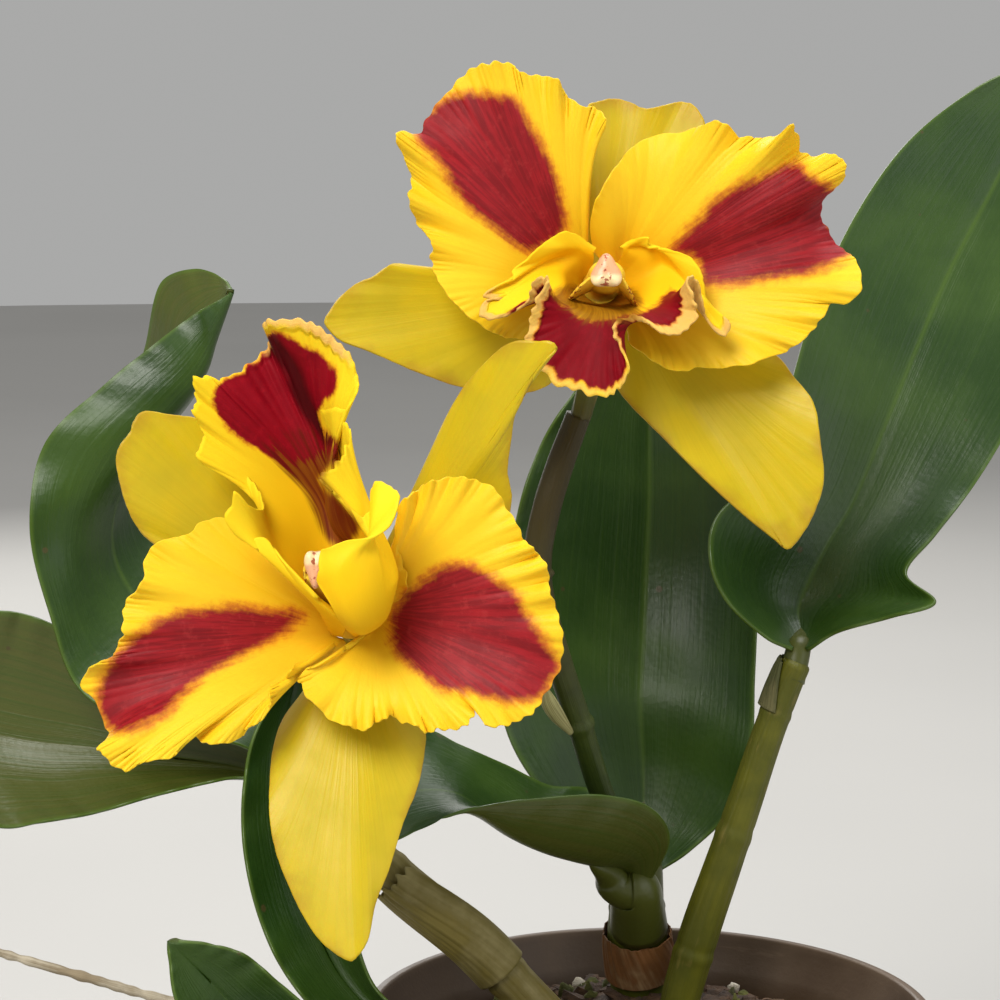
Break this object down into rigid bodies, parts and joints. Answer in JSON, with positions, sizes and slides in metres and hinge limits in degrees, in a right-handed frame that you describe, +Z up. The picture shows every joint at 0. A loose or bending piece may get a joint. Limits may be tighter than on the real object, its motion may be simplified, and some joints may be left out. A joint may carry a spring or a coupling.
{
  "type": "potted rhyncattleanthe orchid",
  "caption": "Potted rhyncattleanthe orchid with yellow splash-petalled blooms, frilled red lips, broad strap leaves on leaning canes and a plain brown pot of bark.",
  "frame": {"origin": "centre of the pot's flat foot", "axes": "+Z up along the pot's axis, the blooms face -Y, +X to the viewer's right"},
  "size_m": [0.2275, 0.1558, 0.2543],
  "materials": {
    "pot_plastic": "satin brown",
    "bark": "rough damp bark",
    "cane": "waxy green",
    "old_cane": "dry beige",
    "dry_sheath": "papery",
    "leaf": "leathery, soft sheen",
    "root": "corky",
    "flower_stem": "smooth",
    "sepal": "waxy",
    "petal": "velvety",
    "lip": "velvety",
    "column": "waxy",
    "anther": "waxy"
  },
  "bodies": {
    "root": {"pot": "pot_plastic", "cane_right": "cane", "cane_middle": "cane", "cane_left": "old_cane", "cane_front": "cane", "root_loose": "root", "sheath_right": "dry_sheath", "sheath_middle": "dry_sheath", "sheath_left": "dry_sheath", "bark": "bark", "leaf_right": "leaf", "leaf_left_high": "leaf", "leaf_left_low": "leaf", "leaf_strap": "leaf", "leaf_small": "leaf", "leaf_middle_low": "leaf", "leaf_middle_high": "leaf", "bract": "dry_sheath", "flower_stem": "flower_stem", "ovary_upper": "flower_stem", "ovary_lower": "flower_stem", "upper_sepal_dorsal": "sepal", "upper_sepal_left": "sepal", "upper_sepal_right": "sepal", "upper_petal_left": "petal", "upper_petal_right": "petal", "upper_lip": "lip", "upper_column": "column", "upper_anther": "anther", "lower_sepal_dorsal": "sepal", "lower_sepal_left": "sepal", "lower_sepal_right": "sepal", "lower_petal_left": "petal", "lower_petal_right": "petal", "lower_lip": "lip", "lower_column": "column", "lower_anther": "anther"}
  },
  "joints": []
}
